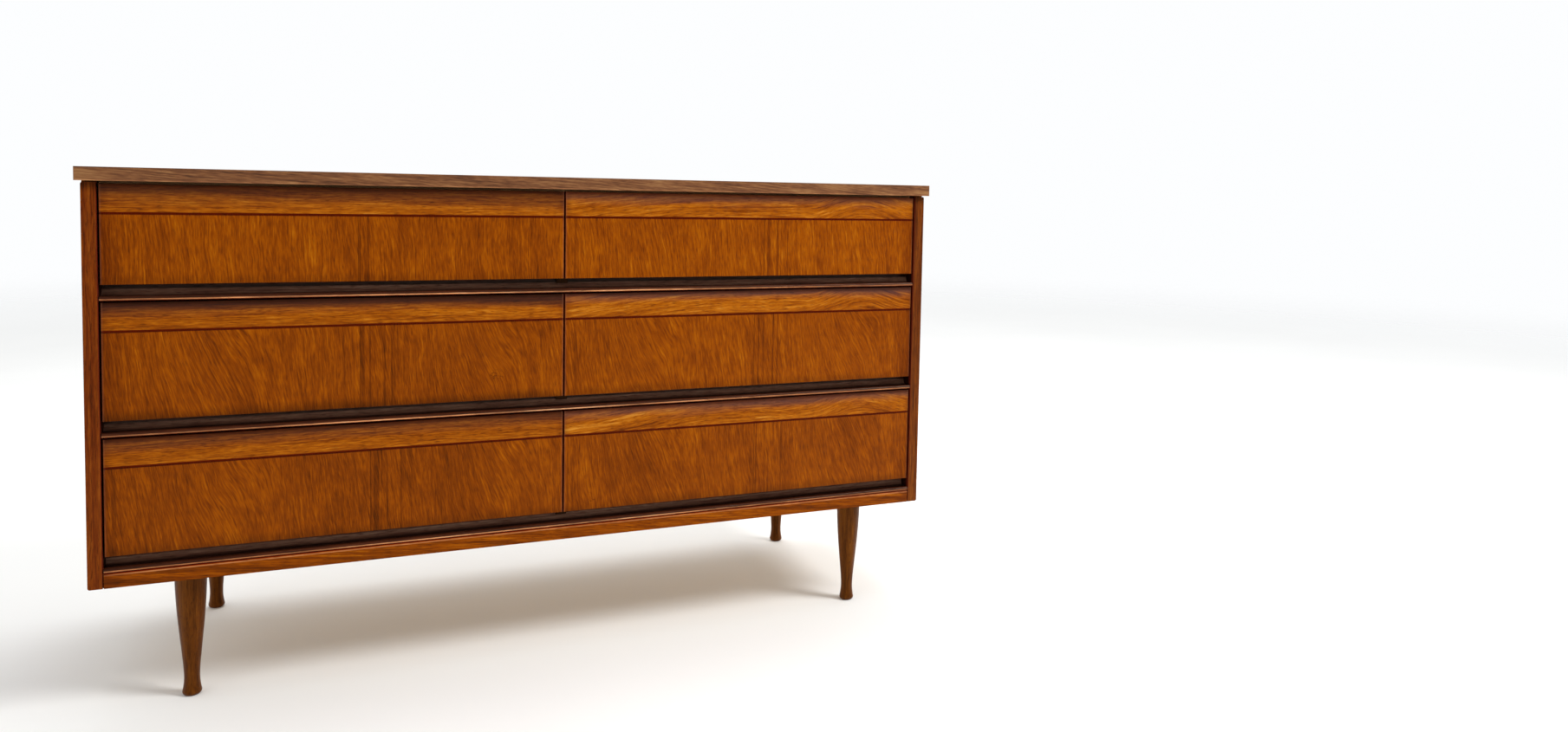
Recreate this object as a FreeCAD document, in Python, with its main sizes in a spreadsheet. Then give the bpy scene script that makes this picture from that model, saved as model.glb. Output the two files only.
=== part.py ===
"""A low dresser with six drawers in three rows of two, on four turned legs.

The frame: +X to the right as one faces the drawers, +Y to the back, +Z up. The origin is on the floor,
under the middle of the top. Millimetres. The driving dimensions are the cells of the sheet "Sizes", and
every board, sketch and feature is bound to them with expressions.
"""

import FreeCAD
import Part
import Sketcher
import math
import os
import re

SIZES = {
    # the whole
    "top_width": 1321.0,
    "top_depth": 457.0,
    "leg_height": 185.0,
    # the top: a core with plastic laminate on its face and three edges
    "top_thickness": 19.0,
    "laminate": 1.2,
    "side_overhang": 6.0,
    "front_overhang": 9.0,
    # the case
    "panel_thickness": 18.0,
    "lipping_depth": 8.0,
    "bottom_thickness": 19.0,
    "apron_thickness": 11.0,
    "apron_round": 2.2,
    "reveal": 0.3,
    "batten_height": 19.0,
    "batten_depth": 60.0,
    "corner_round": 3.0,
    "back_thickness": 4.0,
    "back_inset": 1.0,
    "back_rabbet": 8.0,
    "partition_thickness": 18.0,
    "rear_rail_thickness": 16.0,
    "rear_rail_height": 40.0,
    "cleat": 20.0,
    "shadow_gap": 2.0,
    # the front rails, each with a finger trough behind a rounded nose
    "rail_height": 24.5,
    "rail_depth": 70.0,
    "rail_cover": 2.0,
    "rail_space": 25.0,
    "nose_radius": 3.25,
    "nose_flat": 3.0,
    "nose_relief": 1.6,
    "relief_depth": 4.0,
    "trough_floor": 4.5,
    "trough_start": 13.0,
    "trough_wall": 28.5,
    "cove_radius": 9.0,
    # the drawer fronts
    "front_recess": 3.0,
    "front_thickness": 19.0,
    "front_round": 0.8,
    "low_front_height": 166.5,
    "top_front_height": 140.0,
    "top_gap": 4.0,
    "outer_gap": 2.5,
    "centre_gap": 2.5,
    "band_height": 39.5,
    "band_thickness": 6.0,
    "groove_height": 2.4,
    "groove_depth": 1.5,
    "bevel_start": 8.0,
    "bevel_height": 9.0,
    # the drawer boxes
    "box_clearance": 4.5,
    "box_lift": 1.2,
    "board": 12.0,
    "housing": 6.0,
    "box_end": 200.0,
    "low_box_height": 145.0,
    "top_box_height": 110.0,
    "back_drop": 8.0,
    "ply": 4.0,
    "ply_groove": 5.0,
    "ply_height": 12.0,
    # what the drawers run on
    "runner_height": 19.0,
    "runner_width": 21.0,
    "guide_width": 25.0,
    "guide_rise": 8.0,
    "guide_slack": 0.7,
    "strip_width": 15.0,
    "glide_radius": 5.5,
    "glide_height": 1.0,
    # the legs and their fixings
    "leg_inset": 127.0,
    "leg_set_back": 41.5,
    "leg_top_radius": 21.3,
    "leg_shoulder_height": 98.0,
    "leg_shoulder_radius": 16.2,
    "leg_shin_height": 60.0,
    "leg_shin_radius": 12.6,
    "ankle_height": 28.0,
    "ankle_radius": 10.35,
    "foot_height": 5.5,
    "foot_radius": 12.9,
    "foot_flat_radius": 9.5,
    "foot_curve": 6.0,
    "ankle_curve": 100.0,
    "shin_curve": 360.0,
    "thigh_curve": 1100.0,
    "plate_width": 60.0,
    "plate_thickness": 2.5,
    "plate_round": 6.0,
    "boss_radius": 7.0,
    "boss_height": 8.0,
    "bolt_radius": 4.0,
    "bolt_depth": 35.0,
    "fit_slack": 0.05,
    "screw_radius": 2.0,
    "screw_length": 14.0,
    "screw_head_radius": 3.8,
    "screw_head_height": 1.8,
    "screw_pitch": 42.0,
    "nail_head_radius": 2.5,
    "nail_head_height": 0.6,
}

# Planes of the case, as formulas of the sheet's cells.
INSIDE = "(top_width / 2 - side_overhang - panel_thickness)"
CASE_SIDE = "(top_width / 2 - side_overhang)"
FRONT = "(front_overhang - top_depth / 2)"
REAR = "(top_depth / 2)"
BACK_FACE = f"({REAR} - back_inset - back_thickness)"
REAR_RAIL = f"({BACK_FACE} - rear_rail_thickness)"
FACE = f"({FRONT} + front_recess)"
FACE_BACK = f"({FACE} + front_thickness)"
STILE_FACE = f"({FACE_BACK} + 0.5)"
TROUGH_WALL = f"({FRONT} + trough_wall)"
RAIL_BACK = f"({FRONT} + rail_depth)"
FLOOR = "(leg_height + plate_thickness)"
FLOOR_TOP = f"({FLOOR} + bottom_thickness)"
PARTITION = "(partition_thickness / 2)"

# Each row of drawers: its name, where its fronts start, and the heights of its fronts and boxes.
BOTTOM_BASE = f"({FLOOR_TOP} + rail_height - rail_cover)"
MIDDLE_BASE = f"({BOTTOM_BASE} + low_front_height + rail_space)"
TOP_BASE = f"({MIDDLE_BASE} + low_front_height + rail_space)"
CASE_TOP = f"({TOP_BASE} + top_front_height + top_gap)"
LIPPING_TOP = f"({CASE_TOP} - shadow_gap)"
BATTEN = f"({CASE_TOP} - batten_height)"
BATTEN_FRONT = (STILE_FACE, f"({STILE_FACE} + batten_depth)")
BATTEN_REAR = (f"({BACK_FACE} - batten_depth)", BACK_FACE)
ROWS = [
    ("bottom", BOTTOM_BASE, "low_front_height", "low_box_height"),
    ("middle", MIDDLE_BASE, "low_front_height", "low_box_height"),
    ("top", TOP_BASE, "top_front_height", "top_box_height"),
]
SIDES = [("left", -1), ("right", 1)]
GUIDE_CENTRE = f"(({INSIDE} + {PARTITION}) / 2)"
BOX_INNER = f"({PARTITION} + box_clearance)"
BOX_OUTER = f"({INSIDE} - box_clearance)"
BOX_SIDES = [("inner", BOX_INNER), ("outer", f"{BOX_OUTER} - board")]

doc = FreeCAD.newDocument("Dresser")
sheet = doc.addObject("Spreadsheet::Sheet", "Sizes")
for row_number, (alias, millimetres) in enumerate(SIZES.items(), 1):
    sheet.set(f"A{row_number}", alias)
    sheet.set(f"B{row_number}", str(millimetres))
    sheet.setAlias(f"B{row_number}", alias)
doc.recompute()
nodes = []


def bound(formula):
    """The formula with each size written as a cell of the sheet."""
    return re.sub(r"[a-z][a-z_]+", lambda word: "Sizes." + word.group(), formula)


def measure(formula):
    """What the formula comes to, in millimetres."""
    return float(sheet.evalExpression(bound(formula)))


def side_of(sign, near, far):
    """The low and high X of what spans near to far from the middle, on the left (-1) or right (1)."""
    return (near, far) if sign > 0 else (f"-({far})", f"-({near})")


def node(thing, label):
    """Makes the object a sub-part of the dresser under that name."""
    thing.Label = label
    nodes.append(thing)
    return thing


def place(thing, x, y, z):
    for axis, formula in zip("xyz", (x, y, z)):
        thing.setExpression(f"Placement.Base.{axis}", bound(formula))
    return thing


def board(name, x, y, z):
    """A plain board. x, y and z are pairs of formulas, low and high."""
    box = doc.addObject("Part::Box", name)
    for size, (low, high) in zip(("Length", "Width", "Height"), (x, y, z)):
        box.setExpression(size, bound(f"({high}) - ({low})"))
    return place(box, x[0], y[0], z[0])


def rod(name, radius, x, y, z):
    """An upright cylinder. z is a pair of formulas, low and high."""
    cylinder = doc.addObject("Part::Cylinder", name)
    cylinder.setExpression("Radius", bound(radius))
    cylinder.setExpression("Height", bound(f"({z[1]}) - ({z[0]})"))
    return place(cylinder, x, y, z[0])


def group(name, things):
    compound = doc.addObject("Part::Compound", name)
    compound.Links = things
    return compound


def cut(name, base, tool):
    result = doc.addObject("Part::Cut", name)
    result.Base = base
    result.Tool = tool
    return result


def joined(name, base, tool):
    result = doc.addObject("Part::Fuse", name)
    result.Base = base
    result.Tool = tool
    result.Refine = True
    return result


def rounded(name, base, radius, chosen):
    """The object with the edges for which chosen(edge) is true rounded to the radius."""
    doc.recompute()
    millimetres = measure(radius)
    picked = [i for i, edge in enumerate(base.Shape.Edges, 1) if chosen(edge)]
    result = doc.addObject("Part::Fillet", name)
    result.Base = base
    result.Edges = [(i, millimetres, millimetres) for i in picked]
    return result


def arc_centre(start, end, radius, side):
    """The centre of the shorter arc from start to end, left of that way for side 1, else right of it."""
    middle = (start + end) / 2
    along = end - start
    rise = math.sqrt(radius * radius - along.Length * along.Length / 4)
    left = FreeCAD.Vector(-along.y, along.x, 0).normalize()
    return middle + left * (rise * side)


def outline(body, role, corners):
    """A closed sketch on the body's origin plane of that role, with every corner bound to the sheet.

    A corner is (across, up), or (across, up, radius, side) where the edge that leaves it is an arc.
    """
    plane = next(f for f in body.Origin.OriginFeatures if f.Role == role)
    sketch = body.newObject("Sketcher::SketchObject", body.Name + "_outline")
    sketch.AttachmentSupport = (plane, [""])
    sketch.MapMode = "FlatFace"
    points = [FreeCAD.Vector(measure(c[0]), measure(c[1]), 0) for c in corners]
    starts, ends = [], []
    for i, corner in enumerate(corners):
        here, there = points[i], points[(i + 1) % len(points)]
        if len(corner) == 2:
            sketch.addGeometry(Part.LineSegment(here, there))
            starts.append(1)
            ends.append(2)
            continue
        radius, side = measure(corner[2]), corner[3]
        centre = arc_centre(here, there, radius, side)
        first, last = (here, there) if side > 0 else (there, here)
        angles = [math.atan2(p.y - centre.y, p.x - centre.x) for p in (first, last)]
        if angles[1] < angles[0]:
            angles[1] += 2 * math.pi
        circle = Part.Circle(centre, FreeCAD.Vector(0, 0, 1), radius)
        sketch.addGeometry(Part.ArcOfCircle(circle, *angles))
        starts.append(1 if side > 0 else 2)
        ends.append(2 if side > 0 else 1)
    for i, corner in enumerate(corners):
        following = (i + 1) % len(corners)
        sketch.addConstraint(Sketcher.Constraint("Coincident", i, ends[i], following, starts[following]))
        for kind, formula in zip(("DistanceX", "DistanceY"), corner[:2]):
            fixed = Sketcher.Constraint(kind, -1, 1, i, starts[i], measure(formula))
            sketch.setExpression(f"Constraints[{sketch.addConstraint(fixed)}]", bound(formula))
        if len(corner) > 2:
            bend = sketch.addConstraint(Sketcher.Constraint("Radius", i, measure(corner[2])))
            sketch.setExpression(f"Constraints[{bend}]", bound(corner[2]))
    return sketch


def extrusion(name, corners, length):
    """A body with the outline in its YZ plane, run along +X for the length."""
    body = doc.addObject("PartDesign::Body", name)
    pad = body.newObject("PartDesign::Pad", name + "_pad")
    pad.Profile = outline(body, "YZ_Plane", corners)
    pad.setExpression("Length", bound(length))
    doc.recompute()
    return body


def body_fillet(body, radius, chosen):
    """Rounds the body's edges for which chosen(edge) is true, as the body's next feature."""
    base = body.Tip
    names = [f"Edge{i}" for i, edge in enumerate(base.Shape.Edges, 1) if chosen(edge)]
    fillet = body.newObject("PartDesign::Fillet", body.Name + "_fillet")
    fillet.Base = (base, names)
    fillet.setExpression("Radius", bound(radius))
    doc.recompute()
    return body


def lies(edge, **where):
    """True if the whole edge lies at each coordinate named, such as y=0 or z=12."""
    return all(abs(getattr(v.Point, axis) - at) < 0.01 for v in edge.Vertexes for axis, at in where.items())


def make_top():
    """A core board, the laminate sheet on it, and laminate bands along the front and both ends."""
    across = ("-(top_width / 2)", "top_width / 2")
    core_x = (f"laminate + {across[0]}", f"{across[1]} - laminate")
    core_y = (f"laminate - {REAR}", REAR)
    core_z = (CASE_TOP, f"{CASE_TOP} + top_thickness - laminate")
    node(board("Top_core", core_x, core_y, core_z), "top_panel")
    laminate = board("Laminate", across, (f"-{REAR}", REAR), (core_z[1], f"{core_z[1]} + laminate"))
    doc.recompute()
    top_z = laminate.Shape.BoundBox.ZMax
    node(rounded("Laminate_eased", laminate, "laminate / 3", lambda e: lies(e, z=top_z)), "top_laminate")
    bands = [board("Top_band_front", across, (f"-{REAR}", core_y[0]), core_z)]
    for name, sign in SIDES:
        bands.append(board("Top_band_" + name, side_of(sign, core_x[1], across[1]), core_y, core_z))
    node(group("Top_bands", bands), "top_edge_bands")


def make_sides():
    """The end panels, rabbeted for the back, each with a solid lipping on its front edge.

    The panels carry the top. The lippings stop a little below it, which leaves a dark line.
    """
    up, lip_up = ("leg_height", CASE_TOP), ("leg_height", LIPPING_TOP)
    for name, sign in SIDES:
        span = side_of(sign, INSIDE, CASE_SIDE)
        panel = board("Panel_" + name, span, (f"{FRONT} + lipping_depth", REAR), up)
        rabbet_x = side_of(sign, INSIDE, f"{INSIDE} + back_rabbet")
        rabbet = board("Rabbet_" + name, rabbet_x, (BACK_FACE, REAR), up)
        panel = cut("Panel_rabbeted_" + name, panel, rabbet)
        lipping = board("Lip_" + name, span, (FRONT, f"{FRONT} + lipping_depth"), lip_up)
        outer, foot, head = sign * measure(CASE_SIDE), measure("leg_height"), measure(LIPPING_TOP)
        foot_edge = lambda edge: lies(edge, x=outer, z=foot)
        both_edges = lambda edge: foot_edge(edge) or lies(edge, x=outer, z=head)
        node(rounded("Panel_round_" + name, panel, "corner_round", foot_edge), "side_panel_" + name)
        node(rounded("Lip_round_" + name, lipping, "corner_round", both_edges), "side_lipping_" + name)


def rail_corners():
    """The front rail in section, from the nose back: rounded nose, sloping lip, trough, cove and wall."""
    nose_top = "2 * nose_radius"
    cove_foot = "trough_wall - cove_radius"
    return [
        ("nose_radius", "0"),
        ("rail_depth", "0"),
        ("rail_depth", "rail_height"),
        ("trough_wall", "rail_height"),
        ("trough_wall", "trough_floor + cove_radius", "cove_radius", -1),
        (cove_foot, "trough_floor"),
        ("trough_start", "trough_floor"),
        ("nose_radius + nose_flat", nose_top),
        ("nose_radius", nose_top, "nose_radius", 1),
        ("0", "nose_radius", "nose_radius", 1),
    ]


def relieved(name, base, z):
    """The object with a notch at each end of its front edge, so that it stops short of the end panels."""
    notches = []
    for end, sign in SIDES:
        span = side_of(sign, f"{INSIDE} - nose_relief", f"{INSIDE} + 1")
        depth = (f"{FRONT} - 1", f"{FRONT} + relief_depth")
        notches.append(board(f"{name}_notch_{end}", span, depth, (f"{z[0]} - 1", f"{z[1]} + 1")))
    return cut(name, base, group(name + "_notches", notches))


def make_rails():
    """Three front rails."""
    names = {"bottom": "front_rail_base", "middle": "front_rail_lower", "top": "front_rail_upper"}
    for row, base, _, _ in ROWS:
        foot = f"{base} + rail_cover - rail_height"
        rail = extrusion("Rail_" + row, rail_corners(), f"2 * {INSIDE}")
        place(rail, f"-{INSIDE}", FRONT, foot)
        node(relieved("Rail_relieved_" + row, rail, (foot, f"{foot} + 2 * nose_radius")), names[row])


def make_case_boards():
    """What ties the end panels together, and the partition between the left and right drawers."""
    inner = (f"-{INSIDE}", INSIDE)
    apron_z = ("leg_height", f"{FLOOR_TOP} - reveal")
    apron = board("Apron", inner, (FRONT, f"{FRONT} + apron_thickness"), apron_z)
    doc.recompute()
    box = apron.Shape.BoundBox
    apron = rounded("Apron_round", apron, "apron_round", lambda e: lies(e, y=box.YMin, z=box.ZMax))
    node(relieved("Apron_relieved", apron, apron_z), "base_apron")
    for name, y in (("front", BATTEN_FRONT), ("rear", BATTEN_REAR)):
        node(board("Batten_" + name, inner, y, (BATTEN, CASE_TOP)), "top_batten_" + name)
    back_x = (f"-({INSIDE} + back_rabbet - 0.5)", f"{INSIDE} + back_rabbet - 0.5")
    back_y = (BACK_FACE, f"{BACK_FACE} + back_thickness")
    node(board("Back", back_x, back_y, ("leg_height + 1", f"{CASE_TOP} - 1")), "back_panel")
    sides = (f"-{PARTITION}", PARTITION)
    node(board("Partition", sides, (RAIL_BACK, REAR_RAIL), (FLOOR_TOP, BATTEN)), "centre_partition")
    rails = []
    for row, base, _, _ in ROWS:
        top = f"{base} + rail_cover"
        low = FLOOR_TOP if row == "bottom" else f"{top} - rear_rail_height"
        rails.append(board("Rear_rail_" + row, inner, (REAR_RAIL, BACK_FACE), (low, top)))
    node(group("Rear_rails", rails), "rear_rails")


def make_stiles():
    """The post behind the gap between the fronts, a piece for each row, each with a tongue over its rail."""
    posts = []
    for i, (row, base, height, _) in enumerate(ROWS):
        low = f"{base} + rail_cover"
        high = BATTEN if row == "top" else f"{ROWS[i + 1][1]} + rail_cover - rail_height"
        sides = (f"-{PARTITION}", PARTITION)
        post = board("Post_" + row, sides, (STILE_FACE, RAIL_BACK), (low, high))
        tongue_foot = f"{low} - rail_height + trough_floor + cove_radius"
        tongue = board("Tongue_" + row, sides, (STILE_FACE, TROUGH_WALL), (tongue_foot, low))
        posts.append(joined("Stile_" + row, post, tongue))
    node(group("Stiles", posts), "centre_stile")


def make_runners():
    """Bearers beside every box, a guide under its middle, and a nylon glide under each of its sides."""
    bearers, guides, glides = [], [], []
    run = (RAIL_BACK, REAR_RAIL)
    for row, base, _, _ in ROWS:
        top = f"{base} + rail_cover"
        for name, sign in SIDES:
            key = f"{row}_{name}"
            bearer_z = (f"{top} - runner_height", top)
            outer = side_of(sign, f"{INSIDE} - runner_width", INSIDE)
            inner = side_of(sign, PARTITION, f"{PARTITION} + runner_width")
            bearers.append(board("Bearer_outer_" + key, outer, run, bearer_z))
            bearers.append(board("Bearer_inner_" + key, inner, run, bearer_z))
            guide_sides = (f"{GUIDE_CENTRE} - guide_width / 2", f"{GUIDE_CENTRE} + guide_width / 2")
            guide_z = (bearer_z[0], f"{top} + guide_rise")
            guides.append(board("Guide_" + key, side_of(sign, *guide_sides), run, guide_z))
            centres = {"inner": f"({BOX_INNER} + board / 2)", "outer": f"({BOX_OUTER} - board / 2)"}
            for end, centre in centres.items():
                y = f"({TROUGH_WALL} + {RAIL_BACK}) / 2"
                glide_z = (top, f"{top} + glide_height")
                glides.append(rod(f"Glide_{end}_{key}", "glide_radius", f"{sign} * {centre}", y, glide_z))
    node(group("Bearers", bearers), "drawer_bearers")
    node(group("Guides", guides), "centre_guides")
    node(group("Glides", glides), "nylon_glides")


def make_cleats():
    """Cleats along the end panels, between the battens, which carry the top."""
    cleats = []
    for name, sign in SIDES:
        span = side_of(sign, f"{INSIDE} - cleat", INSIDE)
        along = (BATTEN_FRONT[1], BATTEN_REAR[0])
        cleats.append(board("Cleat_" + name, span, along, (f"{CASE_TOP} - cleat", CASE_TOP)))
    node(group("Cleats", cleats), "top_cleats")


def front_corners(height):
    """A drawer front in section: a rabbet for the band, a groove under it, and a bevel for the fingers."""
    band_foot = f"{height} - band_height"
    return [
        ("0", "0"),
        ("bevel_start", "0"),
        ("front_thickness", "bevel_height"),
        ("front_thickness", height),
        ("band_thickness", height),
        ("band_thickness", band_foot),
        ("groove_depth", band_foot),
        ("groove_depth", f"{band_foot} - groove_height"),
        ("0", f"{band_foot} - groove_height"),
    ]


def make_front(key, sign, base, height, box_height):
    """The front of a drawer, housed for the sides and the bottom, and the band let into its upper edge."""
    width = f"({INSIDE} - outer_gap - centre_gap / 2)"
    low_x = side_of(sign, "centre_gap / 2", f"{INSIDE} - outer_gap")[0]
    body = extrusion("Front_" + key, front_corners(height), width)
    ends = (0.0, measure(width))
    on_face = lambda e: lies(e, y=0) and (lies(e, z=0) or any(lies(e, x=x) for x in ends))
    body_fillet(body, "front_round", on_face)
    place(body, low_x, FACE, base)
    box_foot = f"{base} + rail_cover + box_lift"
    box_z = (box_foot, f"{box_foot} + {box_height}")
    depth = (f"{FACE_BACK} - housing", f"{FACE_BACK} + 1")
    housings = []
    for name, near in BOX_SIDES:
        span = side_of(sign, near, f"{near} + board")
        housings.append(board(f"Housing_{name}_{key}", span, depth, box_z))
    groove_x = side_of(sign, f"{BOX_INNER} + board - ply_groove", f"{BOX_OUTER} - board + ply_groove")
    groove_z = (f"{box_foot} + ply_height", f"{box_foot} + ply_height + ply")
    groove_y = (f"{FACE_BACK} - ply_groove", f"{FACE_BACK} + 1")
    housings.append(board("Ply_groove_" + key, groove_x, groove_y, groove_z))
    node(cut("Front_housed_" + key, body, group("Housings_" + key, housings)), f"drawer_{key}_front")
    band_x = (low_x, f"{low_x} + {width}")
    band_z = (f"{base} + {height} - band_height", f"{base} + {height}")
    band = board("Band_" + key, band_x, (FACE, f"{FACE} + band_thickness"), band_z)
    doc.recompute()
    box = band.Shape.BoundBox
    chosen = lambda e: lies(e, y=box.YMin) and not lies(e, z=box.ZMin)
    node(rounded("Band_eased_" + key, band, "front_round", chosen), f"drawer_{key}_band")


def make_box(key, sign, base, box_height):
    """The sides and back of a drawer, its bottom, and the strips under it that straddle the guide."""
    foot = f"{base} + rail_cover + box_lift"
    side_z = (foot, f"{foot} + {box_height}")
    ply_z = (f"{foot} + ply_height", f"{foot} + ply_height + ply")
    along = (f"{FACE_BACK} - housing", "box_end")
    grooves = {
        "inner": (f"{BOX_INNER} + board - ply_groove", f"{BOX_INNER} + board"),
        "outer": (f"{BOX_OUTER} - board", f"{BOX_OUTER} - board + ply_groove"),
    }
    boards = []
    for name, near in BOX_SIDES:
        side = board(f"Side_{name}_{key}", side_of(sign, near, f"{near} + board"), along, side_z)
        groove = board(f"Groove_{name}_{key}", side_of(sign, *grooves[name]), along, ply_z)
        boards.append(cut(f"Side_grooved_{name}_{key}", side, groove))
    across = side_of(sign, f"{BOX_INNER} + board", f"{BOX_OUTER} - board")
    back_z = (ply_z[1], f"{foot} + {box_height} - back_drop")
    boards.append(board("Box_back_" + key, across, ("box_end - board", "box_end"), back_z))
    node(group("Box_" + key, boards), f"drawer_{key}_box")
    ply_x = side_of(sign, f"{BOX_INNER} + board - ply_groove", f"{BOX_OUTER} - board + ply_groove")
    ply_y = (f"{FACE_BACK} - ply_groove", "box_end")
    node(board("Ply_" + key, ply_x, ply_y, ply_z), f"drawer_{key}_bottom")
    reach = "(guide_width / 2 + guide_slack)"
    lows = [f"{GUIDE_CENTRE} - {reach} - strip_width", f"{GUIDE_CENTRE} + {reach}"]
    strips = []
    for name, low in zip(("near", "far"), lows):
        span = side_of(sign, low, f"{low} + strip_width")
        strips.append(board(f"Strip_{name}_{key}", span, (FACE_BACK, "box_end"), (foot, ply_z[0])))
    node(group("Strips_" + key, strips), f"drawer_{key}_guide_strips")


def leg_corners():
    """Half of a leg in section, from the middle of the foot up: foot, ankle, shin and bellied thigh."""
    return [
        ("0", "0"),
        ("foot_flat_radius", "0", "foot_curve", 1),
        ("foot_radius", "foot_height", "ankle_curve", -1),
        ("ankle_radius", "ankle_height", "shin_curve", -1),
        ("leg_shin_radius", "leg_shin_height"),
        ("leg_shoulder_radius", "leg_shoulder_height", "thigh_curve", 1),
        ("leg_top_radius", "leg_height"),
        ("bolt_radius + fit_slack", "leg_height"),
        ("bolt_radius + fit_slack", "leg_height - bolt_depth"),
        ("0", "leg_height - bolt_depth"),
    ]


def leg_places():
    for end, y in (("front", f"{FRONT} + leg_set_back"), ("rear", f"{REAR} - leg_set_back")):
        for name, sign in SIDES:
            x = f"top_width / 2 - leg_inset"
            yield f"{end}_{name}", x if sign > 0 else f"-({x})", y


def make_legs():
    """Four turned legs, each bored at the top for its bolt."""
    for key, x, y in leg_places():
        body = doc.addObject("PartDesign::Body", "Leg_" + key)
        turning = body.newObject("PartDesign::Revolution", "Turning_" + key)
        turning.Profile = outline(body, "XZ_Plane", leg_corners())
        turning.ReferenceAxis = (next(f for f in body.Origin.OriginFeatures if f.Role == "Z_Axis"), [""])
        turning.Angle = 360
        node(place(body, x, y, "0"), "leg_" + key)


def plate_body(key):
    """A leg plate: a square with rounded corners, four screw holes and a bored boss on top."""
    body = doc.addObject("PartDesign::Body", "Plate_" + key)
    half = "plate_width / 2"
    square = [(f"-{half}", f"-{half}"), (half, f"-{half}"), (half, half), (f"-{half}", half)]
    pad = body.newObject("PartDesign::Pad", "Plate_pad_" + key)
    pad.Profile = outline(body, "XY_Plane", square)
    pad.setExpression("Length", bound("plate_thickness"))
    doc.recompute()
    corners = lambda e: len(e.Vertexes) == 2 and abs(e.Vertexes[0].Z - e.Vertexes[1].Z) > 1
    return body_fillet(body, "plate_round", corners)


def screw_body(name, x, y, tip):
    """A pan-headed wood screw, point up, with its head under the plate."""
    head = rod("Head_" + name, "screw_head_radius", x, y, ("leg_height - screw_head_height", "leg_height"))
    shank = rod("Shank_" + name, "screw_radius", x, y, ("leg_height - 1", tip))
    return joined("Screw_" + name, head, shank)


def make_leg_fixings():
    """Steel plates under the bottom board, the bolts that join the legs to them, and their screws."""
    plates, bolts, screws, bores = [], [], [], []
    bolt_hole, screw_hole = "bolt_radius + fit_slack", "screw_radius + fit_slack"
    boss_top, tip = f"{FLOOR} + boss_height", f"{FLOOR} + screw_length"
    under, over = "leg_height - 1", f"{FLOOR} - 1"
    for key, x, y in leg_places():
        plate = place(plate_body(key), x, y, "leg_height")
        boss = rod("Boss_" + key, "boss_radius", x, y, (FLOOR, boss_top))
        plate = joined("Plate_bossed_" + key, plate, boss)
        bolts.append(rod("Bolt_" + key, "bolt_radius", x, y, ("leg_height - bolt_depth", boss_top)))
        holes = [rod("Bolt_hole_" + key, bolt_hole, x, y, (under, f"{boss_top} + 1"))]
        bores.append(rod("Boss_bore_" + key, "boss_radius + fit_slack", x, y, (over, boss_top)))
        for i, (across, along) in enumerate(((-1, -1), (1, -1), (1, 1), (-1, 1))):
            name = f"{key}_{i}"
            at = (f"{x} + {across} * screw_pitch / 2", f"{y} + {along} * screw_pitch / 2")
            holes.append(rod("Screw_hole_" + name, screw_hole, *at, (under, f"{FLOOR} + 1")))
            bores.append(rod("Pilot_" + name, screw_hole, *at, (over, tip)))
            screws.append(screw_body(name, *at, tip))
        plates.append(cut("Plate_drilled_" + key, plate, group("Holes_" + key, holes)))
    node(group("Plates", plates), "leg_plates")
    node(group("Bolts", bolts), "leg_bolts")
    node(group("Screws", screws), "plate_screws")
    span = (f"-{INSIDE}", INSIDE)
    floor = board("Floor", span, (f"{FRONT} + apron_thickness", BACK_FACE), (FLOOR, FLOOR_TOP))
    node(cut("Floor_bored", floor, group("Bores", bores)), "bottom_panel")


def make_back_nails():
    """Round heads of the nails that hold the back, along its upper and lower edges and its ends."""
    face = f"{BACK_FACE} + back_thickness"
    edge_z = [f"{FLOOR} + bottom_thickness / 2", f"{CASE_TOP} - batten_height / 2"]
    spots = [(f"{i} * {INSIDE} / 4.5", z) for z in edge_z for i in range(-4, 5)]
    end_x = f"({INSIDE} + back_rabbet / 2)"
    spots += [(f"{sign} * {end_x}", f"{FLOOR_TOP} + {i} * 100") for _, sign in SIDES for i in range(1, 5)]
    heads = []
    for i, (x, z) in enumerate(spots):
        head = doc.addObject("Part::Cylinder", f"Nail_{i}")
        head.setExpression("Radius", bound("nail_head_radius"))
        head.setExpression("Height", bound("nail_head_height"))
        head.Placement.Rotation = FreeCAD.Rotation(FreeCAD.Vector(1, 0, 0), -90)
        heads.append(place(head, x, face, z))
    node(group("Nails", heads), "back_nails")


def make_drawers():
    for row, base, height, box_height in ROWS:
        for name, sign in SIDES:
            key = f"{row}_{name}"
            make_front(key, sign, base, height, box_height)
            make_box(key, sign, base, box_height)


def check(things):
    """Stops the script if any object failed, or a sub-part's shape isn't whole."""
    failed = [o.Label for o in doc.Objects if {"Invalid", "Error"} & set(o.State)]
    if failed:
        raise RuntimeError(f"these objects failed: {failed}")
    for thing in things:
        shape = thing.Shape
        if shape.isNull() or not shape.isValid() or not shape.Solids:
            raise RuntimeError(f"{thing.Label} isn't a valid solid")


def main():
    make_top()
    make_sides()
    make_case_boards()
    make_rails()
    make_stiles()
    make_runners()
    make_cleats()
    make_legs()
    make_leg_fixings()
    make_back_nails()
    make_drawers()
    doc.recompute()
    check(nodes)
    os.makedirs("parts", exist_ok=True)
    for thing in nodes:
        thing.Shape.exportStep(os.path.join("parts", thing.Label + ".step"))
    print(f"{len(nodes)} sub-parts, {sum(len(n.Shape.Solids) for n in nodes)} solids")


main()
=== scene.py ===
"""Finishes, lights and camera for a walnut dresser with six drawers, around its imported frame."""
from math import pi, radians

import bpy
from mathutils import Matrix, Vector


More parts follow.
